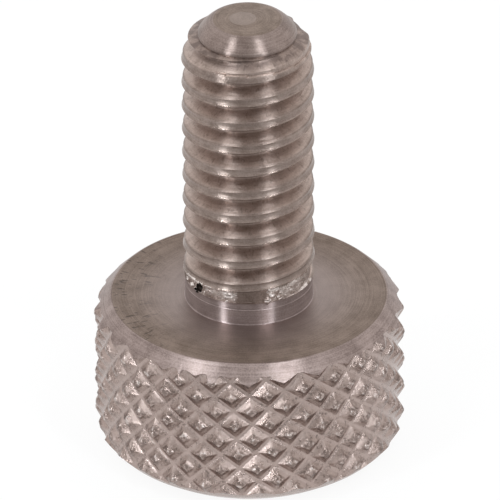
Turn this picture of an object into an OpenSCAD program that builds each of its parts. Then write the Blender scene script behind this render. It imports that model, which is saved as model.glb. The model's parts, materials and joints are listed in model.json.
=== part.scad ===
// Thumb screw with a diamond-knurled head, turned from one bar.
// It stands on the flat end of its head: the origin is the centre of that end,
// +Z runs along the screw's axis towards the threaded tip.

/* [Head] */
// Diameter over the tips of the knurl
head_d = 15.06; // [13.9:0.02:18]
// Height of the head, from its end to the face that clamps
head_h = 7.94; // [6:0.02:12]
// Outer diameter of the flat clamping face
face_d = 13.4; // [10:0.1:13.8]
// Slope of the chamfer round the clamping face
face_chamfer_a = 45; // [30:1:60]
// Diameter of the flat end that the screw stands on
end_d = 12.2; // [8:0.1:13]
// Width, along the radius, of the shallow bevel round the end
end_bevel_w = 0.82; // [0.2:0.02:1.2]
// Slope of that shallow bevel
end_bevel_a = 35; // [20:1:40]
// Slope of the steeper edge between the bevel and the knurl
end_edge_a = 47; // [40:1:60]

/* [Knurl] */
// Distance between neighbouring grooves, square to them
knurl_pitch = 1.168; // [1.1:0.002:1.3]
// Depth of the grooves below the tips
knurl_depth = 0.5; // [0.2:0.02:0.6]
// Number of grooves in the left-leaning set
knurl_left_n = 24; // [20:1:27]
// Number of grooves in the right-leaning set
knurl_right_n = 29; // [24:1:30]
// Where the left-leaning set starts, as a share of its pitch
knurl_left_start = 0.16; // [0:0.01:1]
// Where the right-leaning set starts, as a share of its pitch
knurl_right_start = 0.45; // [0:0.01:1]

/* [Shank] */
// Length of the shank, from the clamping face to the tip
shank_l = 15.12; // [8:0.02:25]
// Diameter of the plain neck under the head
neck_d = 6.18; // [5.4:0.02:6.3]
// Length of the plain neck
neck_l = 1.16; // [0.6:0.02:3]
// Length over which the neck widens to the thread's full diameter
flare_l = 0.56; // [0.1:0.02:1]

/* [Thread] */
// Diameter over the crests
thread_d = 6.32; // [6.2:0.01:6.5]
// Distance from one crest to the next
thread_pitch = 1.27; // [1.15:0.01:1.5]
// Depth of the thread groove
thread_depth = 0.7; // [0.5:0.01:0.8]
// Width of the groove's flat root
thread_root_w = 0.08; // [0.04:0.01:0.16]
// Angle between the flanks of the groove
thread_flank_a = 60; // [50:1:62]
// Height above the neck at which a crest passes the +X side
thread_start_h = 1.186; // [1:0.002:1.3]
// Direction, from +X, in which the groove begins above the neck
thread_begin_a = -90; // [-120:15:-30]
// Part of a turn over which the groove sinks to its full depth
thread_runout = 0.6; // [0.25:0.05:0.75]

/* [Tip] */
// Diameter of the rounded point, where the lead-in ends
point_d = 4.74; // [4:0.02:5]
// Height of the rounded point
point_h = 0.84; // [0.4:0.02:1]
// Height of the point's straight side, below its rounding
point_side_l = 0.12; // [0.02:0.02:0.3]
// Diameter of the nearly flat end of the point
point_end_d = 2.8; // [1:0.1:3.6]
// How far the end of the point is crowned
point_crown = 0.03; // [0.01:0.01:0.2]
// Diameter of the first turn of thread, at the end of its taper
lead_d = 5.9; // [5.2:0.05:6.1]
// Length of the taper, the bevel and the point, down from the tip
lead_l = 2.1; // [1.4:0.05:3]
// Length of the bevel and the point, down from the tip
lead_bevel_l = 1.06; // [1.02:0.02:1.3]

/* [Hidden] */

// Smoothness of the turned faces, and steps of the groove round one turn
turned_fn = 96;
turn_steps = 24;

head_r = head_d / 2;
face_r = face_d / 2;
end_r = end_d / 2;
neck_r = neck_d / 2;
thread_r = thread_d / 2;
point_r = point_d / 2;
point_end_r = point_end_d / 2;
lead_r = lead_d / 2;
tip_z = head_h + shank_l;
neck_z = head_h + neck_l;

// Turned and cut shapes reach this far past the metal that they shape
reach = 0.1;
turn_r = head_r + reach;
face_chamfer_z = head_h - (turn_r - face_r) * tan(face_chamfer_a);
bevel_r = end_r + end_bevel_w;
bevel_z = end_bevel_w * tan(end_bevel_a);
edge_z = bevel_z + (turn_r - bevel_r) * tan(end_edge_a);

// Grooves of one set per millimetre of height, from their pitch and their number
knurl_mid_r = head_r - knurl_depth / 2;
function per_height(n) = sqrt(pow(1 / knurl_pitch, 2) - pow(n / (2 * PI * knurl_mid_r), 2));
left_rate = per_height(knurl_left_n);
right_rate = per_height(knurl_right_n);
knurl_cells = knurl_left_n * right_rate + knurl_right_n * left_rate;

// A point of the knurl lattice: i counts left-leaning grooves, j right-leaning ones
function lattice_z(i, j) =
    (knurl_right_n * (i - knurl_left_start) - knurl_left_n * (j - knurl_right_start)) / knurl_cells;
function lattice_a(i, j) =
    360 * (right_rate * (i - knurl_left_start) + left_rate * (j - knurl_right_start)) / knurl_cells;
function lattice_point(i, j, r) =
    [r * cos(lattice_a(i, j)), r * sin(lattice_a(i, j)), lattice_z(i, j)];

// Once round the head, a stair of groove crossings stays at one height:
// step k has moved on by left_steps(k) cells one way and by the rest the other way
knurl_n = knurl_left_n + knurl_right_n;
function left_steps(k) = floor(k * knurl_left_n / knurl_n + 0.5);
row_rise = lattice_z(1, -1) - lattice_z(0, 0);
// Most that a stair's own corners stray from its height, and the lattice's reach past each end
stair_spread = knurl_pitch;
cap_reach = 3 * row_rise;
first_row = floor((-stair_spread - lattice_z(-0.5, 0.5)) / row_rise);
row_n = ceil((head_h + 2 * stair_spread) / row_rise) + 2;
function corner(k, m) =
    lattice_point(left_steps(k) + first_row + m - 0.5,
                  k - left_steps(k) - first_row - m + 0.5,
                  head_r - knurl_depth);
function tip(k, m) =
    lattice_point(left_steps(k) + first_row + m,
                  k - left_steps(k) - first_row - m,
                  head_r);

// Pyramids between two crossing sets of grooves, closed to a solid at both ends.
// Each step of the stair and each row give four faces: two halves of two pyramids.
module knurled_bar() {
    corner_n = knurl_n * (row_n + 1);
    tip_n = knurl_n * row_n;
    points = concat(
        [for (m = [0:row_n]) for (k = [0:knurl_n - 1]) corner(k, m)],
        [for (m = [0:row_n - 1]) for (k = [0:knurl_n - 1]) tip(k, m)],
        [[0, 0, -cap_reach], [0, 0, head_h + cap_reach]]);
    faces = concat(
        [for (m = [0:row_n - 1]) for (k = [0:knurl_n - 1])
            let (n = (k + 1) % knurl_n,
                 c = m * knurl_n + k, d = m * knurl_n + n,
                 c_up = c + knurl_n, d_up = d + knurl_n,
                 t = corner_n + c, u = corner_n + d,
                 leans_left = left_steps(k + 1) > left_steps(k))
            each leans_left
                ? [[c, t, d], [t, c_up, d], [d, c_up, u], [c_up, d_up, u]]
                : [[c, t, d_up], [t, c_up, d_up], [c, u, d], [c, d_up, u]]],
        [for (k = [0:knurl_n - 1])
            [corner_n + tip_n, k, (k + 1) % knurl_n]],
        [for (k = [0:knurl_n - 1])
            [corner_n + tip_n + 1, row_n * knurl_n + (k + 1) % knurl_n, row_n * knurl_n + k]]);
    polyhedron(points, faces, convexity = 10);
}

// The head before knurling: two flat ends, the chamfer and the two-step bevel
module turned_head() {
    rotate_extrude($fn = turned_fn)
        polygon([
            [0, 0], [end_r, 0], [bevel_r, bevel_z], [turn_r, edge_z],
            [turn_r, face_chamfer_z], [face_r, head_h], [0, head_h]
        ]);
}

// The shank before threading: neck, slight flare, full diameter, lead-in and rounded point
module turned_shank() {
    point_z = tip_z - point_h + point_side_l;
    round_h = point_h - point_side_l - point_crown;
    rotate_extrude($fn = turned_fn)
        polygon(concat(
            [
                [0, head_h / 2], [neck_r, head_h / 2], [neck_r, neck_z],
                [thread_r, neck_z + flare_l],
                [thread_r, tip_z - lead_l], [lead_r, tip_z - lead_bevel_l],
                [point_r, tip_z - point_h], [point_r, point_z]
            ],
            [for (a = [15:15:90])
                [point_end_r + (point_r - point_end_r) * cos(a), point_z + round_h * sin(a)]],
            [[0, tip_z]]));
}

// Cutter for the thread: a V-shaped groove with a flat root, wound upwards.
// Over its first part of a turn it is a wide shallow band, whose root sinks from the
// surface to the full depth while its flanks stay; it never cuts below the neck's end.
module thread_groove() {
    out_r = thread_r + reach;
    start_r = out_r - reach / 4;
    root_r = thread_r - thread_depth;
    flank = tan(thread_flank_a / 2);
    root_z = neck_z + thread_start_h - thread_pitch / 2;
    runout_n = round(thread_runout * turn_steps);
    step_n = ceil((tip_z - neck_z) / thread_pitch * turn_steps) + turn_steps;
    // Radius of the root at step s, half the groove's width at a radius,
    // and the four corners of the groove at that step
    function root(s) = root_r + (start_r - root_r) * max(0, 1 - s / runout_n);
    function half_w(r) = thread_root_w / 2 + (r - root_r) * flank;
    function ring(s) = let (a = thread_begin_a + 360 * s / turn_steps,
                            z = root_z + thread_pitch * a / 360)
        [for (p = [[root(s), -1], [out_r, -1], [out_r, 1], [root(s), 1]])
            [p[0] * cos(a), p[0] * sin(a), max(z + p[1] * half_w(p[0]), neck_z)]];
    points = [for (s = [0:step_n]) each ring(s)];
    faces = concat(
        [[0, 2, 1], [0, 3, 2]],
        [for (s = [0:step_n - 1]) for (q = [0:3])
            let (p = 4 * s + q, n = 4 * s + (q + 1) % 4)
            each [[p, n, p + 4], [n, n + 4, p + 4]]],
        [[4 * step_n, 4 * step_n + 1, 4 * step_n + 2], [4 * step_n, 4 * step_n + 2, 4 * step_n + 3]]);
    polyhedron(points, faces, convexity = 10);
}

// The whole screw is one piece of metal
module thumb_screw() {
    color([0.60, 0.54, 0.51])
    difference() {
        union() {
            intersection() {
                turned_head();
                knurled_bar();
            }
            turned_shank();
        }
        thread_groove();
    }
}

thumb_screw();
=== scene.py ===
# %% [markdown]
# # A knurled thumb screw
# One bar of metal becomes this screw on a lathe: the head is knurled, both of
# its edges are chamfered, the shank is turned down, and a thread is cut on it.
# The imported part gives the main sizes. This lesson builds the finer surface
# that a hand and an eye meet: the small flats and burrs of the knurl, the
# rolled crests of the thread, the marks of the lathe and the bare metal.

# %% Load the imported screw
import json
import math
import random

import bpy
from mathutils import Matrix, Vector, noise


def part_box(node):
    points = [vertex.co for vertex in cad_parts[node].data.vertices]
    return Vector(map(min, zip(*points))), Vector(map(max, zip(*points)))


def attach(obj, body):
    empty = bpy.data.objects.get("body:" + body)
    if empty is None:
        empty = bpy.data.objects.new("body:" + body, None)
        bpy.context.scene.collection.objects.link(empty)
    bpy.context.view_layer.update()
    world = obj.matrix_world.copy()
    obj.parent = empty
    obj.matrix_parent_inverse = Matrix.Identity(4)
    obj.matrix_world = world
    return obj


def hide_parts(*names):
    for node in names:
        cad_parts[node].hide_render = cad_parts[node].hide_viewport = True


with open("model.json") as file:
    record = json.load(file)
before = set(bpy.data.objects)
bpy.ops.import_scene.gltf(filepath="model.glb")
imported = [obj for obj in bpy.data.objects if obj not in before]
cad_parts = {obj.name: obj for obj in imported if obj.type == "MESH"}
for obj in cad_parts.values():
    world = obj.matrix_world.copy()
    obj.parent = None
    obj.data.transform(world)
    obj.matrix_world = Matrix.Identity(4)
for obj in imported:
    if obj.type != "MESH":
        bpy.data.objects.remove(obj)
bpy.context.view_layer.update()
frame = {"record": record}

scene = bpy.context.scene
scene.view_settings.view_transform = "Standard"

# %% [markdown]
# ## Sizes
# Blender works in metres, and a screw is easier to think of in millimetres.
# So each shape below is written in millimetres and shrunk once at the end.
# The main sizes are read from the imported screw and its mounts. Those of the
# knurl, the bevels and the thread's groove aren't stated there, so they are
# written again below.

# %% Main sizes, in millimetres
MM = 0.001
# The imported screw's own box, still in metres
low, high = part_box("thumb_screw")
mounts = {mount["name"]: mount for mount in frame["record"]["mounts"]}
head_r = (high[0] - low[0]) / 2 / MM
tip_z = high[2] / MM
head_h = mounts["clamp_face"]["pos_m"][2] / MM
neck_r = mounts["neck"]["dims"]["r_mm"]
neck_top = mounts["neck"]["pos_m"][2] / MM + mounts["neck"]["dims"]["length_mm"] / 2
thread_r = mounts["thread"]["dims"]["r_mm"]
print(f"head {2 * head_r:.2f} across and {head_h:.2f} high, tip at {tip_z:.2f}")

# %% [markdown]
# ## The camera
# The screw is seen from the front and 30 degrees above, from far away through
# a long lens, so its upright edges stay nearly parallel. The camera is turned
# a third of a degree, which makes the screw lean a very little to the left.

# %% Camera
camera_data = bpy.data.cameras.new("camera")
camera = bpy.data.objects.new("camera", camera_data)
scene.collection.objects.link(camera)
scene.camera = camera
camera_elevation = math.radians(30.203)
camera_distance = 0.53713
camera_roll = math.radians(-0.362)
# A point near the axis, at about the middle of the screw's height
look_at = Vector((0.056, 0, 10.318)) * MM
camera_data.sensor_width = 36
camera_data.lens = 802.8
camera_data.clip_start = 0.01
camera_data.clip_end = 20
towards_camera = Vector((0, -math.cos(camera_elevation), math.sin(camera_elevation)))
camera.location = look_at + towards_camera * camera_distance
camera.rotation_euler = (
    (-towards_camera).to_track_quat("-Z", "Y").to_matrix()
    @ Matrix.Rotation(camera_roll, 3, "Z")
).to_euler()
print("camera at", [round(c, 4) for c in camera.location])

# %% [markdown]
# ## Helpers for solid shapes
# Three small helpers do most of the work. `new_piece` makes an object from
# points and faces. `turned` spins an outline round the axis, as a lathe does.
# `carve` keeps, adds or cuts one solid with another by Blender's boolean
# modifier. The manifold solver is chosen because every shape here is closed,
# and it is both exact and quick on such shapes.

# %% Points, turned solids and booleans
def on_circle(radius, angle, height):
    return (radius * math.cos(angle), radius * math.sin(angle), height)


def new_piece(name, points, faces):
    mesh = bpy.data.meshes.new(name)
    mesh.from_pydata(points, [], faces)
    piece = bpy.data.objects.new(name, mesh)
    scene.collection.objects.link(piece)
    return piece


def turned(name, outline, steps=480):
    """Spins (radius, height) pairs round Z. The outline starts and ends on the axis."""
    rings = outline[1:-1]
    points = [(0, 0, outline[0][1]), (0, 0, outline[-1][1])]
    for radius, height in rings:
        points += [on_circle(radius, math.tau * s / steps, height) for s in range(steps)]
    faces = []
    last = 2 + (len(rings) - 1) * steps
    for s in range(steps):
        t = (s + 1) % steps
        faces.append((0, 2 + t, 2 + s))
        faces.append((1, last + s, last + t))
        for ring in range(len(rings) - 1):
            here = 2 + ring * steps
            faces.append((here + s, here + t, here + steps + t, here + steps + s))
    return new_piece(name, points, faces)


def carve(base, tool, how):
    """Applies tool to base: how is INTERSECT, UNION or DIFFERENCE."""
    modifier = base.modifiers.new("carve", "BOOLEAN")
    modifier.operation = how
    modifier.solver = "MANIFOLD"
    modifier.object = tool
    graph = bpy.context.evaluated_depsgraph_get()
    mesh = bpy.data.meshes.new_from_object(base.evaluated_get(graph))
    base.modifiers.clear()
    base.data = mesh
    bpy.data.objects.remove(tool, do_unlink=True)
    print(f"{how.lower()}: {base.name} has {len(mesh.polygons)} faces")


def close_ends(points, faces, low_z, high_z):
    """Closes a sleeve round the axis with a fan to a point below it and one above it."""
    # A dictionary, which keeps its order, unlike a set
    edges = {}
    for face in faces:
        for a, b in zip(face, face[1:] + face[:1]):
            edges[a, b] = True
    ends = [(a, b) for a, b in edges if (b, a) not in edges]
    middle = (low_z + high_z) / 2
    low_tip, high_tip = len(points), len(points) + 1
    points += [(0, 0, low_z), (0, 0, high_z)]
    for a, b in ends:
        faces.append((b, a, low_tip if points[a][2] < middle else high_tip))
    return points, faces


# %% [markdown]
# ## The knurl
# A knurling tool presses two crossing sets of grooves into the head, and small
# pyramids stay between them. The two sets lean by different angles, so their
# counts round the head differ. It is easiest to think in the lattice of the
# two sets: a whole number (i, j) is the tip of a pyramid, and halfway between
# whole numbers lies a groove. Each pyramid gets its own small faults: a blunt,
# shifted or slanting tip with a rough top.

# %% The knurl's lattice
# How many grooves of each set go round the head, and where each set starts,
# as a share of its pitch
left_n, right_n = 24, 29
left_start, right_start = 0.16, 0.45
# From groove to groove, square to them
knurl_pitch = 1.168
knurl_depth = 0.5
middle_r = head_r - knurl_depth / 2


def rate(count):
    """Grooves of one set that are met along one millimetre of height."""
    return math.sqrt(1 / knurl_pitch**2 - (count / (math.tau * middle_r)) ** 2)


left_rate, right_rate = rate(left_n), rate(right_n)
cells = left_n * right_rate + right_n * left_rate


def lattice_place(i, j):
    """The angle and height at which the lattice has its point (i, j)."""
    i, j = i - left_start, j - right_start
    angle = math.tau * (right_rate * i + left_rate * j) / cells
    return angle, (right_n * i - left_n * j) / cells


print(f"{cells * head_h:.0f} pyramids on the head")

# %% One pyramid
# Where a cell's points lie, from one groove (-0.5) over the tip (0) to the next (0.5)
half_cell = [0.08, 0.165, 0.255, 0.345, 0.43, 0.465]
cell_steps = [-0.5] + [-x for x in reversed(half_cell)] + [0] + half_cell
per_cell = len(cell_steps)
# The groove's flat bottom begins at this share of the way from tip to border, this deep
groove_edge, groove_depth = 0.88, 0.41
# How far each tip is rounded, and how square the pyramids are: a power of 2 makes cones
tip_round, square_power = 0.06, 12
# Direction of the sharpest pyramids, from +X
sharp_side = math.radians(20)


def worn_side(angle):
    """1 where the knurl is most blunt, on the screw's left, and 0 on its right."""
    return (1 - math.cos(angle - sharp_side)) / 2


def pyramid_faults(i, j):
    """Random faults of the pyramid (i, j), the same each time it is asked for."""
    # Two large factors keep any two pyramids from sharing a seed
    draw = random.Random(i * 1009 + j * 9176)
    worn = worn_side(lattice_place(i, j)[0])
    return {
        "shift": (draw.uniform(-0.07, 0.07), draw.uniform(-0.07, 0.07)),
        "blunt": draw.uniform(0.0, 0.04) + draw.uniform(0.0, 0.07) * worn,
        "tilt": (draw.uniform(-0.2, 0.2), draw.uniform(-0.2, 0.2)),
        "rough": draw.uniform(0.02, 0.08),
        "seed": Vector((draw.uniform(0, 90), draw.uniform(0, 90), draw.uniform(0, 90))),
    }


def pyramid_radius(across, along, faults):
    """Radius of the surface at a place in a pyramid's cell, each way from -0.5 to 0.5."""
    a = abs(across + faults["shift"][0] * (1 - 2 * abs(across))) * 2
    b = abs(along + faults["shift"][1] * (1 - 2 * abs(along))) * 2
    # 0 at the tip and 1 in the groove
    down = min((a**square_power + b**square_power) ** (1 / square_power) / groove_edge, 1)
    place = Vector((across, along, 0)) + faults["seed"]
    bumps = noise.noise(place * 6) * 0.6 + noise.noise(place * 13) * 0.4
    wave = noise.noise(place * 2) * 0.02 * (1 - down)
    depth = math.hypot(groove_depth * down, tip_round) - tip_round + wave
    # The top is crushed to a slanting, rough flat, which matters less further down
    top = faults["blunt"] + faults["tilt"][0] * across + faults["tilt"][1] * along
    top += faults["rough"] * bumps
    depth = max(depth, top * (1 - 0.6 * down))
    return head_r - min(max(depth, 0), groove_depth - tip_round * 0.8)


# %% The knurled bar
def knurled_bar(low_z, high_z, cone_h):
    """A bar knurled from low_z to high_z and closed by a cone of height cone_h at each end."""
    points, faces, numbers, faults = [], [], {}, {}
    middle = (per_cell - 1) / 2

    def home(i, j):
        """Once round the head, (i, j) comes back as (i - left_n, j - right_n)."""
        turns = math.floor(lattice_place(i, j)[0] / math.tau)
        return i - turns * left_n, j - turns * right_n

    def corner(i, a, j, b):
        """Number of the point at step a of column i and step b of row j."""
        i, a = (i + 1, 0) if a == per_cell else (i, a)
        j, b = (j + 1, 0) if b == per_cell else (j, b)
        i, j = home(i, j)
        key = i, a, j, b
        if key not in numbers:
            if (i, j) not in faults:
                faults[i, j] = pyramid_faults(i, j)
            across, along = cell_steps[a], cell_steps[b]
            angle, height = lattice_place(i + across, j + along)
            numbers[key] = len(points)
            points.append(on_circle(pyramid_radius(across, along, faults[i, j]), angle, height))
        return numbers[key]

    reach = range(-left_n - right_n, left_n + right_n + 1)
    for i in reach:
        for j in reach:
            angle, height = lattice_place(i, j)
            if not (0 <= angle < math.tau and low_z < height < high_z):
                continue
            for a in range(per_cell):
                for b in range(per_cell):
                    p = corner(i, a, j, b)
                    q = corner(i, a + 1, j, b)
                    r = corner(i, a + 1, j, b + 1)
                    s = corner(i, a, j, b + 1)
                    # Each quarter of a pyramid is split along its own ridge
                    if (a - middle) * (b - middle) >= 0:
                        faces += [(p, r, q), (p, s, r)]
                    else:
                        faces += [(p, s, q), (q, s, r)]
    return close_ends(points, faces, low_z - cone_h, high_z + cone_h)


# The bar is longer than the head at both ends, and the next step cuts it to length
spare = 1.5
knurl = new_piece("knurl", *knurled_bar(-spare, head_h + spare, 4))
print(f"the knurl has {len(knurl.data.polygons)} faces")

# %% [markdown]
# ## The turned head
# Before knurling, the head is a plain turned disc. Its outline has the flat
# end it stands on, a shallow bevel and a steeper one, then the chamfer round
# the clamping face. Where two of these meet, the tool leaves a tiny radius,
# which is what catches the light, so each corner is cut once more.
# Intersecting this disc with the knurled bar gives the ragged line where the
# pyramids run out into the chamfer, just as turning does on the real bar.

# %% Rounded corners for an outline
def eased(outline, size, steps=3):
    """Rounds each inner corner of an outline, over a distance of size on both sides."""
    result = [outline[0]]
    for before, corner, after in zip(outline, outline[1:], outline[2:]):
        before, corner, after = Vector(before), Vector(corner), Vector(after)
        reach = min(size, (before - corner).length / 3, (after - corner).length / 3)
        start = corner + (before - corner).normalized() * reach
        end = corner + (after - corner).normalized() * reach
        for step in range(steps + 1):
            t = step / steps
            bend = start * (1 - t) ** 2 + corner * 2 * t * (1 - t) + end * t**2
            result.append((bend.x, bend.y))
    return result + [outline[-1]]


# %% The head
# Radius of the clamping face, of the end it stands on, and of the blank before knurling
face_r, end_r, turn_r = 6.7, 6.1, head_r + 0.1
# Where the shallow bevel ends, and the slopes of the chamfer and of the steeper bevel
bevel_r, bevel_z = 6.92, 0.574
chamfer_slope, edge_slope = math.radians(45), math.radians(47)
chamfer_z = head_h - (turn_r - face_r) * math.tan(chamfer_slope)
edge_z = bevel_z + (turn_r - bevel_r) * math.tan(edge_slope)
upper_outline = [(turn_r, edge_z), (turn_r, chamfer_z), (face_r, head_h), (0, head_h)]
head_outline = [(0, 0), (end_r, 0), (bevel_r, bevel_z)] + upper_outline
corner_ease = 0.05
head_blank = turned("head_blank", eased(head_outline, corner_ease))
screw = knurl
carve(screw, head_blank, "INTERSECT")

# %% [markdown]
# ## The thread
# The thread is one ridge wound round the shank. Cutting it pushes metal up at
# the lower edge of each crest, so the crest isn't flat: its lower edge stands
# proud, then comes a shallow dip, and its upper edge lies lower. The ridge's
# section is written once and then swept. Each turn's last point is the next
# turn's first one, so the sweep closes on itself without a seam.

# %% The section of one turn
thread_pitch = 1.27
root_r = 2.46
# Height above the clamping face at which a crest passes the +X side
crest_z = 2.3457
# Radius of the first turn, at the end of its taper
lead_r = 2.95
# Distance above the middle of the crest, and radius, from one crest to the next
section = [
    (-0.15, thread_r - 0.02), (-0.12, thread_r + 0.012), (-0.07, thread_r - 0.012),
    (0.0, thread_r - 0.045), (0.08, thread_r - 0.062), (0.17, thread_r - 0.062),
    (0.235, thread_r - 0.05), (0.275, thread_r - 0.085), (0.32, thread_r - 0.17),
    (0.42, 2.80), (0.52, 2.62), (0.585, 2.505), (0.63, root_r), (0.70, root_r),
    (0.745, 2.50), (0.85, 2.68), (0.95, 2.853), (1.05, 3.027), (1.09, 3.09),
]
# The groove begins at the front, a quarter of a turn before the first crest's mark,
# and sinks for over half a turn, slowly at first
groove_begin, groove_sink, sink_power = -0.25, 0.6, 1.7
# The cutter only brushes the bar down to this radius where the groove begins
brushed_r = thread_r - 0.045
turn_steps = 144

# %% [markdown]
# Where the cutter starts, it tears the metal before it cuts cleanly. That leaves
# a rough, bright band on the right above the neck and a shorter one on the left.
# The same function later says which faces get the torn finish.

# %% Torn metal above the neck
def hill(value, start, end, rise_w, fall_w=None):
    """1 between start and end, with a smooth rise and fall just inside them."""
    rise = min(max((value - start) / rise_w, 0), 1)
    fall = min(max((end - value) / (fall_w or rise_w), 0), 1)
    return (rise * rise * (3 - 2 * rise)) * (fall * fall * (3 - 2 * fall))


def torn(angle, height):
    """How torn the metal is at a place just above the neck, from 0 to 1."""
    # The front is at 270 degrees
    degrees = math.degrees(angle) % 360
    above = height - neck_top
    # On the right the band ends at the first crest's lower edge, which climbs with the thread
    first_edge = 0.62 + thread_pitch * (degrees - 270) / 360
    right = hill(degrees, 283, 358, 6, 34) * hill(above, -0.03, first_edge + 0.02, 0.05)
    left = hill(degrees, 197, 261, 5) * hill(above, -0.03, 0.68, 0.05)
    return max(right, left)


# %% The threaded bar
def bar_radius(angle, height, whole, radius):
    """Radius of the threaded bar where its full section would have the given radius."""
    depth = min(max((whole - groove_begin) / groove_sink, 0), 1) ** sink_power
    around = Vector(on_circle(4, angle, height))
    if depth < 1:
        radius = max(radius, brushed_r + (root_r - brushed_r) * depth)
    radius += noise.noise(around) * 0.008 + noise.noise(around * 4) * 0.003
    tear = torn(angle, height)
    if tear:
        lumpy = noise.noise(around * 1.7) + 0.6 * noise.noise(around * 3.7)
        radius += tear * (0.04 * lumpy + 0.012)
    # Below the neck's end the bar is wider than the neck, so the neck stays round
    below = min(max((neck_top + 0.03 - height) / 0.04, 0), 1)
    # Near the tip a bit of the last turn is broken off
    degrees = math.degrees(angle) % 360
    if height > tip_z - 1.5:
        radius = min(radius, lead_r - 0.3 * hill(degrees, 4, 46, 14))
    return radius + (thread_r + 0.2 - radius) * below


def threaded_bar(turns_below, turns):
    """A bar with the thread wound on it, as a closed solid, longer than the shank."""
    points, faces = [], []
    total = turns * turn_steps
    first_crest = head_h + crest_z - thread_pitch
    for step in range(total + turn_steps + 1):
        angle = math.tau * step / turn_steps
        whole = step / turn_steps - turns_below
        for rise, radius in section:
            height = first_crest + thread_pitch * whole + rise
            points.append(on_circle(bar_radius(angle, height, whole, radius), angle, height))
    width = len(section)

    def number(step, place):
        return step * width + place if place < width else (step + turn_steps) * width

    for step in range(total):
        for place in range(width):
            p, q = number(step, place), number(step + 1, place)
            r, s = number(step + 1, place + 1), number(step, place + 1)
            faces += [(p, q, r), (p, r, s)]
    used = sorted({n for face in faces for n in face})
    renumber = {old: new for new, old in enumerate(used)}
    points = [points[old] for old in used]
    faces = [tuple(renumber[n] for n in face) for face in faces]
    return close_ends(points, faces, head_h - 4, tip_z + 5)


# It starts two turns lower than the first crest, inside the head, and ends beyond the tip
thread = new_piece("thread", *threaded_bar(2, 14))
print(f"the thread has {len(thread.data.polygons)} faces")

# %% [markdown]
# ## The shank
# The shank's own outline is a neck, a small step up to the thread, a tapered
# first turn, a narrow bevel and a rounded point. One fine line is scored round
# the neck, where the tool paused. The threaded bar is cut down to this outline
# and then joined to the head.

# %% The shank's outline
point_r = 2.37
# The blank is this much wider than the thread, so that the crests stay as they were swept
thread_room = 0.02
# Each pair is a radius and a distance, up from the clamping face or down from the tip
neck_pairs = [
    # Inside the head, then a tiny rounding where the neck leaves it
    (0, -3), (neck_r + 0.07, -3), (neck_r + 0.035, 0),
    (neck_r + 0.014, 0.01), (neck_r + 0.003, 0.028), (neck_r, 0.05),
    # The scored line
    (neck_r, 0.80), (neck_r - 0.016, 0.825), (neck_r - 0.016, 0.845),
    (neck_r + 0.004, 0.875), (neck_r, 0.9),
]
point_pairs = [
    # The small ledge under the point, then the rounding, the flat end and its nub
    (point_r - 0.02, 0.83), (point_r, 0.80),
    (point_r, 0.72), (2.34, 0.64), (2.26, 0.52), (2.16, 0.405), (2.05, 0.295), (1.93, 0.19),
    (1.84, 0.12), (1.75, 0.07), (1.64, 0.035), (1.45, 0.02), (0.78, 0.01), (0.72, 0.003),
    (0, 0.002),
]
thread_outline = [
    (neck_r, neck_top), (neck_r + 0.03, neck_top + 0.03),
    (thread_r + thread_room, neck_top + 0.3), (thread_r + thread_room, tip_z - 2.1),
    (lead_r, tip_z - 1.12), (lead_r - 0.03, tip_z - 1.06),
    (point_r + 0.06, tip_z - 0.885), (point_r - 0.02, tip_z - 0.865),
]
point_outline = [(radius, tip_z - down) for radius, down in point_pairs]
shank_outline = [(radius, head_h + up) for radius, up in neck_pairs]
shank_outline += thread_outline + point_outline
shank_blank = turned("shank_blank", shank_outline, steps=360)
carve(thread, shank_blank, "INTERSECT")

# %% [markdown]
# Small lumps of metal were pushed out where the thread starts, and one bead
# hangs beside a small hollow. Each lump is a tiny ball made uneven by noise, and
# all of them are joined to the thread in one step. Three more balls then cut
# the hollow.

# %% Lumps and the hollow
# Direction in degrees from +X, height above the neck's end, and radius.
# The first two are the bead.
lumps = [
    (211, 0.22, 0.17), (202, 0.36, 0.14), (227, 0.24, 0.07), (233, 0.38, 0.08),
    (249, 0.30, 0.10), (253, 0.52, 0.10), (250, 0.10, 0.08), (256, 0.22, 0.07),
    (286, 0.14, 0.17), (290, 0.42, 0.17), (296, 0.22, 0.11), (288, 0.70, 0.10),
    (299, 0.40, 0.08),
]
# A crooked hollow beside the bead, from its lower end to its upper end
hollows = [(215.5, 0.06, 0.16), (219.5, 0.28, 0.21), (222.5, 0.48, 0.17)]


def ball_middle(angle, above):
    return Vector(on_circle(neck_r + 0.01, math.radians(angle), neck_top + above))


def uneven_ball(angle, above, size):
    """Points and faces of a small noisy ball on the shank, above the neck's end."""
    rings, around = 10, 14
    middle = ball_middle(angle, above)
    points = []
    for ring in range(1, rings):
        for step in range(around):
            tilt, turn = math.pi * ring / rings, math.tau * step / around
            way = Vector(on_circle(math.sin(tilt), turn, math.cos(tilt)))
            reach = size * (1 + 0.45 * noise.noise(way * 2.2 + middle * 7))
            points.append(tuple(middle + way * reach))
    top, bottom = len(points), len(points) + 1
    points += [tuple(middle + Vector((0, 0, size))), tuple(middle - Vector((0, 0, size)))]
    faces = []
    for step in range(around):
        after = (step + 1) % around
        faces.append((top, step, after))
        faces.append((bottom, (rings - 2) * around + after, (rings - 2) * around + step))
        for ring in range(rings - 2):
            here = ring * around
            faces.append((here + step, here + around + step, here + around + after, here + after))
    return points, faces


points, faces = [], []
for lump in lumps:
    more_points, more_faces = uneven_ball(*lump)
    faces += [tuple(n + len(points) for n in face) for face in more_faces]
    points += more_points
carve(thread, new_piece("lumps", points, faces), "UNION")
for hollow in hollows:
    carve(thread, new_piece("hollow", *uneven_ball(*hollow)), "DIFFERENCE")

# %% The whole screw
carve(screw, thread, "UNION")
screw.name = screw.data.name = "turned_screw"
triangles = sum(len(face.vertices) - 2 for face in screw.data.polygons)
print(f"the screw has {triangles} triangles")

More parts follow.
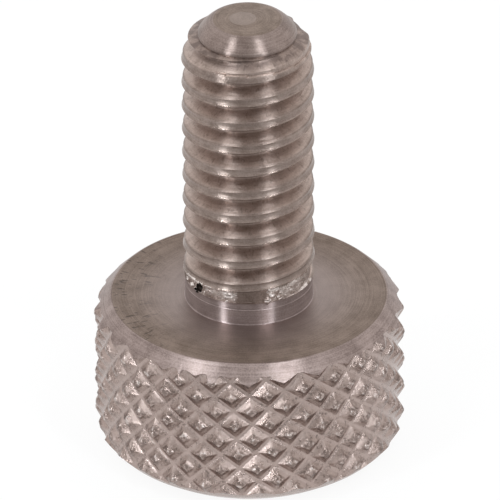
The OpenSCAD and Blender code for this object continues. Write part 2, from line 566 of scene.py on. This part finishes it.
# %% [markdown]
# ## Finishes for each surface
# The screw is one piece of one metal, yet its surfaces look different: the
# faced head, its chamfer, the neck, the point and its flat end were turned,
# others were knurled, threaded or torn. Some of their colours also paint light
# and shade, as said at each finish. Each face is put with its kind by where
# it lies, so the finishes follow the shapes exactly.

# %% Sort the faces
KINDS = FACE, CHAMFER, NECK, POINT, END, KNURLED, THREADED, TORN, HOLLOW = range(9)
# A face lies in a flat end when its middle is less than this off it
hair = 0.001
# How far off its own outline a turned face may lie. The chamfer's corners are rounded.
chamfer_slack, point_slack = 0.02, 0.004


def off_outline(radius, height, outline):
    """Distance from a place to the nearest line of an outline."""
    here = Vector((radius, height))
    distances = []
    for start, end in zip(outline, outline[1:]):
        start, end = Vector(start), Vector(end)
        along = end - start
        t = min(max((here - start).dot(along) / along.length_squared, 0), 1)
        distances.append((here - start - along * t).length)
    return min(distances)


def near(place, balls, reach):
    """Whether a place is near a ball on the shank, within reach times its radius."""
    return any((place - ball_middle(angle, above)).length < size * reach
               for angle, above, size in balls)


def head_kind(radius, z):
    """The kind of surface at a place on the head."""
    if z > head_h - hair or z < hair:
        return FACE
    return CHAMFER if off_outline(radius, z, upper_outline) < chamfer_slack else KNURLED


def neck_kind(radius, z):
    """The neck is smooth, apart from the torn edge that hangs over its end."""
    below_end = z < neck_top - 0.005 and radius < neck_r + 0.09
    return NECK if below_end or radius < neck_r + 0.025 else TORN


def tip_kind(radius, z):
    """The tapered first turn, the point or its flat end."""
    if off_outline(radius, z, point_outline) > point_slack:
        return THREADED
    return END if z > tip_z - 0.04 else POINT


def thread_start_kind(radius, z, place, angle):
    """The start of the thread, with its torn bands, lumps and hollow."""
    if near(place, hollows, 1.4) and radius < neck_r - 0.005:
        return HOLLOW
    ragged = torn(angle, z) + 0.5 * noise.noise(place * 3) > 0.45
    on_lump = near(place, lumps, 1.5) and radius > brushed_r + 0.01
    return TORN if radius > 2.85 and (ragged or on_lump) else THREADED


def kind_of(x, y, z):
    """The kind of surface at a place on the screw."""
    radius, angle = math.hypot(x, y), math.atan2(y, x)
    # The head, as far in as the tiny rounding round the neck
    if z < head_h + hair and radius > neck_r + 0.08:
        return head_kind(radius, z)
    # The neck, down to the bottom of the scored line
    if z < neck_top + 0.01 and radius > neck_r - 0.025:
        return neck_kind(radius, z)
    # The narrow bevel and the point
    if z > tip_z - 1.1:
        return tip_kind(radius, z)
    # The first turn of the groove
    if z < neck_top + 1.2:
        return thread_start_kind(radius, z, Vector((x, y, z)), angle)
    return THREADED


counts = [0] * len(KINDS)
screw.data.materials.clear()
for face in screw.data.polygons:
    face.material_index = kind_of(*face.center)
    counts[face.material_index] += 1
print("faces of each kind:", counts)

# %% Real size and edges
# Faces that meet at more than this angle keep a crisp edge
crisp_angle = math.radians(24)
screw.data.transform(Matrix.Scale(MM, 4))
for face in screw.data.polygons:
    face.use_smooth = True
screw.data.set_sharp_from_angle(angle=crisp_angle)

# %% [markdown]
# ## The metal
# Bare turned metal is a mirror roughened by the tool. Its marks run round the
# axis, so it spreads light along the axis and keeps it narrow around it. That
# is what draws bright upright lines on the neck. One helper makes the marks on
# every turned surface and on the thread: noise that hardly changes around the
# axis, but changes fast with radius and height.

# %% Node helpers
def add_node(tree, kind, **settings):
    """A new node. Each setting is the value of a socket or, failing that, a property."""
    node = tree.nodes.new("ShaderNode" + kind)
    for name, value in settings.items():
        if name in node.inputs:
            node.inputs[name].default_value = value
        else:
            setattr(node, name, value)
    return node


def fill(tree, sockets, values):
    """Gives each socket a number or colour, or a link from another node's output."""
    for socket, value in zip(sockets, values):
        if isinstance(value, (int, float, tuple)):
            socket.default_value = value
        else:
            tree.links.new(value, socket)


def maths(tree, operation, *values):
    """A Math node whose inputs are numbers or other nodes' outputs."""
    node = add_node(tree, "Math", operation=operation)
    fill(tree, node.inputs, values)
    return node.outputs[0]


def blend_colors(tree, amount, first, second):
    """A Mix node for colours, which uses inputs 0, 6 and 7 and output 2 of the node."""
    mix = add_node(tree, "Mix", data_type="RGBA")
    fill(tree, (mix.inputs[0], mix.inputs[6], mix.inputs[7]), (amount, first, second))
    return mix.outputs[2]


def shade_between(tree, tone, dark, light):
    """A colour from dark to light, as tone goes from 0 to 1."""
    return blend_colors(tree, tone, (*dark, 1), (*light, 1))


def tinted(tree, color, mask, share, tint):
    """The colour, taken a share of the way to a tint where the mask is 1."""
    return blend_colors(tree, maths(tree, "MULTIPLY", mask, share), color, (*tint, 1))


# %% Where a point lies on the screw, and noise that follows the lathe
def lathe_places(tree):
    """A point's place, its three coordinates and its distance from the axis, in millimetres."""
    place = add_node(tree, "TexCoord").outputs["Object"]
    scaled = add_node(tree, "VectorMath", operation="SCALE", Scale=1 / MM)
    tree.links.new(place, scaled.inputs[0])
    parts = add_node(tree, "SeparateXYZ")
    tree.links.new(scaled.outputs[0], parts.inputs[0])
    x, y, z = parts.outputs
    squares = maths(tree, "ADD", maths(tree, "MULTIPLY", x, x), maths(tree, "MULTIPLY", y, y))
    radius = maths(tree, "SQRT", squares)
    return {"place": scaled.outputs[0], "x": x, "y": y, "z": z, "radius": radius}


def grain(tree, place, scale, detail=3):
    """Noise with about `scale` changes a millimetre, the same in every direction."""
    noise_node = add_node(tree, "TexNoise", Scale=scale, Detail=detail)
    tree.links.new(place["place"], noise_node.inputs["Vector"])
    return noise_node.outputs[0]


def lathe_marks(tree, place, around, across, detail=4):
    """Noise with about 6 times `around` changes a turn and `across` changes a millimetre."""
    # On the axis itself the radius is kept off 0, because it divides
    safe = maths(tree, "MAXIMUM", place["radius"], 0.05)
    vector = add_node(tree, "CombineXYZ")
    for socket, part in zip(vector.inputs, ("x", "y")):
        direction = maths(tree, "DIVIDE", place[part], safe)
        tree.links.new(maths(tree, "MULTIPLY", direction, around), socket)
    tree.links.new(maths(tree, "MULTIPLY", place["radius"], across), vector.inputs[2])
    marks = add_node(tree, "TexNoise", noise_dimensions="4D", Scale=1, Detail=detail)
    tree.links.new(vector.outputs[0], marks.inputs["Vector"])
    tree.links.new(maths(tree, "MULTIPLY", place["z"], across), marks.inputs["W"])
    return marks.outputs[0]


def step_between(tree, value, low_value, high_value):
    """0 below one value, 1 above the other and a smooth rise between them."""
    ramp = add_node(tree, "MapRange", interpolation_type="SMOOTHSTEP")
    tree.links.new(value, ramp.inputs[0])
    ramp.inputs[1].default_value, ramp.inputs[2].default_value = low_value, high_value
    return ramp.outputs[0]


# %% The finishes
def start_metal(name, anisotropic=0):
    """A new metal with its node tree and shader. Turned metal is anisotropic."""
    material = bpy.data.materials.new(name)
    material.use_nodes = True
    tree = material.node_tree
    shader = tree.nodes["Principled BSDF"]
    shader.inputs["Metallic"].default_value = 1
    shader.inputs["Anisotropic"].default_value = anisotropic
    if anisotropic:
        # A quarter turn, so that light spreads along the axis and not around it
        shader.inputs["Anisotropic Rotation"].default_value = 0.25
        tangent = add_node(tree, "Tangent", direction_type="RADIAL", axis="Z")
        tree.links.new(tangent.outputs[0], shader.inputs["Tangent"])
    return material, tree, shader


def set_bump(tree, shader, height, distance):
    """Fine relief on the surface. The distance is in metres."""
    bump = add_node(tree, "Bump", Strength=1, Distance=distance)
    tree.links.new(height, bump.inputs["Height"])
    tree.links.new(bump.outputs[0], shader.inputs["Normal"])


def turned_metal(name, anisotropic, dark, light, rough, details=""):
    """Metal with fine rings from the lathe, and the torn face's or the end's details."""
    material, tree, shader = start_metal(name, anisotropic)
    place = lathe_places(tree)
    fine = lathe_marks(tree, place, 1.2, 14)
    broad = lathe_marks(tree, place, 0.8, 2.5, 2)
    mottle = grain(tree, place, 1.3)
    specks = grain(tree, place, 14, 2)
    tone = maths(tree, "MULTIPLY_ADD", fine, 0.35, maths(tree, "MULTIPLY", mottle, 0.35))
    tone = maths(tree, "MULTIPLY_ADD", specks, 0.3, tone)
    color = shade_between(tree, step_between(tree, tone, 0.3, 0.7), dark, light)
    relief = maths(tree, "MULTIPLY_ADD", specks, 0.5, fine)
    rough = maths(tree, "MULTIPLY_ADD", broad, 0.14, rough)
    if details == "tears":
        # Short dark tears cross the tool's path on the left of the face
        tears = step_between(tree, lathe_marks(tree, place, 40, 2.6, 1), 0.59, 0.67)
        left = step_between(tree, maths(tree, "MULTIPLY", place["x"], -1), 3.2, 5.2)
        tears = maths(tree, "MULTIPLY", tears, left)
        color = tinted(tree, color, tears, 0.6, (0.06, 0.045, 0.04))
        relief = maths(tree, "SUBTRACT", relief, tears)
        # Towards the neck the tool left a smoother surface, and a greyer colour there paints the
        # neck's reflection
        smooth_ring_and_reflection = step_between(tree, place["radius"], 6.2, 3.2)
        color = tinted(tree, color, smooth_ring_and_reflection, 0.6, (0.325, 0.266, 0.256))
        rough = maths(tree, "MULTIPLY_ADD", smooth_ring_and_reflection, -0.15, rough)
    if details == "nub":
        # A shallow disc, a little off the middle, where the bar was parted off
        away = add_node(tree, "VectorMath", operation="DISTANCE")
        tree.links.new(place["place"], away.inputs[0])
        away.inputs[1].default_value = (-0.21, 0, tip_z)
        disc = maths(tree, "SUBTRACT", 1, step_between(tree, away.outputs["Value"], 0.6, 0.68))
        color = tinted(tree, color, disc, 0.35, (0.42, 0.35, 0.32))
        relief = maths(tree, "MULTIPLY_ADD", disc, 2, relief)
    tree.links.new(color, shader.inputs["Base Color"])
    tree.links.new(rough, shader.inputs["Roughness"])
    set_bump(tree, shader, relief, 0.000006)
    return material


def knurled_metal():
    """Pressed metal: groove bottoms tinted lighter as painted light, specked sides, and crushed
    tips with painted glints and painted shade.
    """
    material, tree, shader = start_metal("knurled metal")
    place = lathe_places(tree)
    tip = step_between(tree, place["radius"], head_r - 0.2, head_r - 0.08)
    side = step_between(tree, place["radius"], head_r - 0.36, head_r - 0.24)
    groove = maths(tree, "SUBTRACT", 1, side)
    mottle = grain(tree, place, 2.2, 5)
    specks = grain(tree, place, 16, 3)
    tone = maths(tree, "MULTIPLY_ADD", mottle, 0.55, maths(tree, "MULTIPLY", specks, 0.45))
    tone = step_between(tree, tone, 0.3, 0.7)
    color = shade_between(tree, tone, (0.24, 0.18, 0.157), (0.46, 0.363, 0.328))
    # Painted light: the groove bottoms are tinted lighter
    color = tinted(tree, color, groove, 0.5, (0.46, 0.37, 0.34))
    # Grime lies in patches of small dark pits
    # This dark colour is the grime's, and it also paints shade in the crushed tips' pits
    dirt_and_shade = (0.12, 0.09, 0.08)
    grime = maths(tree, "MULTIPLY", step_between(tree, grain(tree, place, 8, 3), 0.44, 0.36),
                  step_between(tree, mottle, 0.56, 0.46))
    color = tinted(tree, color, grime, 0.6, dirt_and_shade)
    # Crushed tips: dark pits with dirt and painted shade, beside bright fresh metal with painted
    # glints
    crushed = grain(tree, place, 5, 3)
    pit_dirt_and_shade = maths(tree, "MULTIPLY", tip, step_between(tree, crushed, 0.52, 0.42))
    fresh_metal_and_glints = maths(tree, "MULTIPLY", tip, step_between(tree, crushed, 0.55, 0.64))
    color = tinted(tree, color, pit_dirt_and_shade, 0.6, dirt_and_shade)
    color = tinted(tree, color, fresh_metal_and_glints, 0.7, (0.64, 0.57, 0.54))
    tree.links.new(color, shader.inputs["Base Color"])
    tree.links.new(maths(tree, "MULTIPLY_ADD", mottle, 0.3, 0.13), shader.inputs["Roughness"])
    relief = maths(tree, "MULTIPLY_ADD", maths(tree, "MULTIPLY", tip, crushed), 2,
                   maths(tree, "MULTIPLY", specks, 0.35))
    set_bump(tree, shader, relief, 0.00004)
    return material


def threaded_metal():
    """Cut metal whose colour paints light and shade: brighter flanks, with a darker root and
    darker crests.
    """
    material, tree, shader = start_metal("threaded metal", 0.9)
    place = lathe_places(tree)
    fine = lathe_marks(tree, place, 2, 9)
    mottle = grain(tree, place, 2)
    specks = grain(tree, place, 12, 3)
    tone = maths(tree, "MULTIPLY_ADD", fine, 0.3, maths(tree, "MULTIPLY", mottle, 0.35))
    tone = step_between(tree, maths(tree, "MULTIPLY_ADD", specks, 0.35, tone), 0.28, 0.72)
    # Painted light and shade: the root's colours are darker as the groove's painted shade, the
    # flanks' lighter, the crests' darker as painted shade
    root_painted_shade = shade_between(tree, tone, (0.27, 0.205, 0.175), (0.46, 0.36, 0.32))
    flank_painted_light = shade_between(tree, tone, (0.31, 0.237, 0.203), (0.58, 0.465, 0.413))
    high = shade_between(tree, tone, (0.18, 0.134, 0.113), (0.395, 0.315, 0.279))
    out_of_root = step_between(tree, place["radius"], root_r + 0.1, 2.95)
    on_crest = step_between(tree, place["radius"], 3.0, 3.09)
    color = blend_colors(tree, out_of_root, root_painted_shade, flank_painted_light)
    color = blend_colors(tree, on_crest, color, high)
    # The last turn, where the bevel starts, is darker in patches
    last = step_between(tree, place["z"], tip_z - 1.5, tip_z - 1.0)
    dark_patches = maths(tree, "MULTIPLY", last, step_between(tree, mottle, 0.35, 0.6))
    color = tinted(tree, color, dark_patches, 0.7, (0.12, 0.088, 0.078))
    # Scuffs cross the groove in short dark strokes
    scuffs = step_between(tree, lathe_marks(tree, place, 22, 4, 2), 0.56, 0.68)
    scuffs = maths(tree, "MULTIPLY", scuffs, step_between(tree, place["radius"], 3.04, 2.9))
    color = tinted(tree, color, scuffs, 0.35, (0.1, 0.072, 0.06))
    tree.links.new(color, shader.inputs["Base Color"])
    # The proud lower edge of each crest is burnished
    edge = step_between(tree, place["radius"], thread_r - 0.03, thread_r)
    rough = maths(tree, "MULTIPLY_ADD", mottle, 0.15, 0.26)
    tree.links.new(maths(tree, "MULTIPLY_ADD", edge, -0.14, rough), shader.inputs["Roughness"])
    relief = maths(tree, "MULTIPLY_ADD", specks, 0.7, fine)
    set_bump(tree, shader, relief, 0.000012)
    return material


def torn_metal():
    """Fresh, bright metal, broken into flakes."""
    material, tree, shader = start_metal("torn metal")
    place = lathe_places(tree)
    flakes = grain(tree, place, 4, 4)
    specks = grain(tree, place, 13, 2)
    tone = maths(tree, "MULTIPLY_ADD", specks, 0.5, maths(tree, "MULTIPLY", flakes, 0.5))
    tone = step_between(tree, tone, 0.34, 0.66)
    color = shade_between(tree, tone, (0.4, 0.335, 0.305), (0.84, 0.75, 0.71))
    tree.links.new(color, shader.inputs["Base Color"])
    shader.inputs["Roughness"].default_value = 0.33
    set_bump(tree, shader, maths(tree, "MULTIPLY_ADD", specks, 0.4, flakes), 0.00005)
    return material


def hollow_shade_metal():
    """Painted shade: the inside of the hollow is coloured nearly black."""
    material, _, shader = start_metal("hollow shade")
    shader.inputs["Base Color"].default_value = (0.035, 0.026, 0.022, 1)
    shader.inputs["Roughness"].default_value = 0.6
    return material


# In the same order as the kinds of face. Each turned finish has its anisotropy,
# its darkest and lightest colour and its roughness.
for finish in (
    turned_metal("turned face", 0.8, (0.172, 0.126, 0.1), (0.338, 0.262, 0.22), 0.44, "tears"),
    # The chamfer's colours are set lighter than the face's: painted light on the slope that looks
    # up
    turned_metal("turned chamfer", 0.5, (0.18, 0.134, 0.12), (0.44, 0.351, 0.325), 0.31),
    turned_metal("turned neck", 1.0, (0.27, 0.213, 0.202), (0.47, 0.385, 0.37), 0.26),
    # The point's colours are raised a little: painted light
    turned_metal("turned point", 0.92, (0.19, 0.142, 0.124), (0.39, 0.31, 0.28), 0.3),
    turned_metal("turned end", 0.2, (0.165, 0.122, 0.097), (0.33, 0.257, 0.215), 0.36, "nub"),
    knurled_metal(), threaded_metal(), torn_metal(), hollow_shade_metal(),
):
    screw.data.materials.append(finish)
print("finishes:", [m.name for m in screw.data.materials])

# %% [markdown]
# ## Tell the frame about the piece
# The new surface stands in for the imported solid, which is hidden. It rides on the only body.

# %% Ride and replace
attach(screw, "root")
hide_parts("thumb_screw")

# %% [markdown]
# ## Floor, surroundings and lamps
# The screw stands on a plain white floor in a white room, so bare metal shows
# about its own colour. Four narrow lamps stand in front of it, a low one and a
# high one on each side. They draw the two bright upright lines on everything
# round, and the high ones also light the faces that look up.

# %% Floor
half = 3
floor_corners = [(-half, -half, 0), (half, -half, 0), (half, half, 0), (-half, half, 0)]
floor = new_piece("floor", floor_corners, [(0, 1, 2, 3)])
# A hair below the screw's end, so the two flat faces don't lie in one plane
floor.location.z = low[2] - 0.01 * MM
floor_material = bpy.data.materials.new("white floor")
floor_material.use_nodes = True
tree = floor_material.node_tree
matt = tree.nodes["Principled BSDF"]
matt.inputs["Base Color"].default_value = (0.9, 0.9, 0.9, 1)
matt.inputs["Roughness"].default_value = 1
white = add_node(tree, "Emission", Strength=1)
rays = add_node(tree, "LightPath").outputs
# In reflections the floor grows dimmer towards the front, where less light reaches it
floor_place = add_node(tree, "SeparateXYZ")
tree.links.new(add_node(tree, "TexCoord").outputs["Object"], floor_place.inputs[0])
front = maths(tree, "SUBTRACT", 1, step_between(tree, floor_place.outputs["Y"], -0.026, -0.012))
dim = maths(tree, "MULTIPLY", front, maths(tree, "SUBTRACT", 1, rays["Is Camera Ray"]))
tree.links.new(shade_between(tree, dim, (1, 1, 1), (0.45, 0.45, 0.45)), white.inputs["Color"])
# The floor shows white to the camera, metal and glass, and a tenth of it takes the shadow
mirrored = maths(tree, "MAXIMUM", rays["Is Glossy Ray"], rays["Is Transmission Ray"])
seen = maths(tree, "MAXIMUM", rays["Is Camera Ray"], mirrored)
mix = add_node(tree, "MixShader")
tree.links.new(maths(tree, "MULTIPLY", seen, 0.9), mix.inputs[0])
tree.links.new(matt.outputs[0], mix.inputs[1])
tree.links.new(white.outputs[0], mix.inputs[2])
tree.links.new(mix.outputs[0], tree.nodes["Material Output"].inputs["Surface"])
floor.data.materials.append(floor_material)

# %% The room
# It is white. In reflections it is a little dimmer behind the camera
world = bpy.data.worlds.new("white room")
scene.world = world
world.use_nodes = True
tree = world.node_tree
background = tree.nodes["Background"]
background.inputs["Strength"].default_value = 1
facing = add_node(tree, "VectorMath", operation="DOT_PRODUCT")
tree.links.new(add_node(tree, "TexCoord").outputs["Generated"], facing.inputs[0])
facing.inputs[1].default_value = (0, -0.94, 0.34)
dim = step_between(tree, facing.outputs["Value"], 0.25, 0.75)
dim = maths(tree, "MULTIPLY", dim, add_node(tree, "LightPath").outputs["Is Glossy Ray"])
tree.links.new(shade_between(tree, dim, (1, 1, 1), (0.8, 0.8, 0.8)), background.inputs["Color"])

# %% Lamps
lamp_distance = 0.5
lamp_color = (0.86, 0.94, 1.0)


def strip_lamp(name, azimuth, elevation, width, height, power):
    """A tall soft lamp that faces the screw. Azimuth 0 is the camera's side."""
    azimuth, elevation = math.radians(azimuth), math.radians(elevation)
    lamp_data = bpy.data.lights.new(name, "AREA")
    lamp_data.shape = "RECTANGLE"
    lamp_data.size, lamp_data.size_y = width, height
    lamp_data.energy = power
    lamp_data.color = lamp_color
    lamp = bpy.data.objects.new(name, lamp_data)
    scene.collection.objects.link(lamp)
    away = Vector((math.sin(azimuth) * math.cos(elevation),
                   -math.cos(azimuth) * math.cos(elevation), math.sin(elevation)))
    lamp.location = away * lamp_distance
    lamp.rotation_euler = (-away).to_track_quat("-Z", "Y").to_euler()


# Direction and height in degrees, width and height in metres, power in watts
strip_lamp("left_low_lamp", -44, 9, 0.05, 0.12, 0.48)
strip_lamp("left_high_lamp", -50, 52, 0.04, 0.2, 0.42)
strip_lamp("right_low_lamp", 38, 9, 0.06, 0.12, 0.27)
strip_lamp("right_high_lamp", 36, 52, 0.05, 0.2, 0.5)
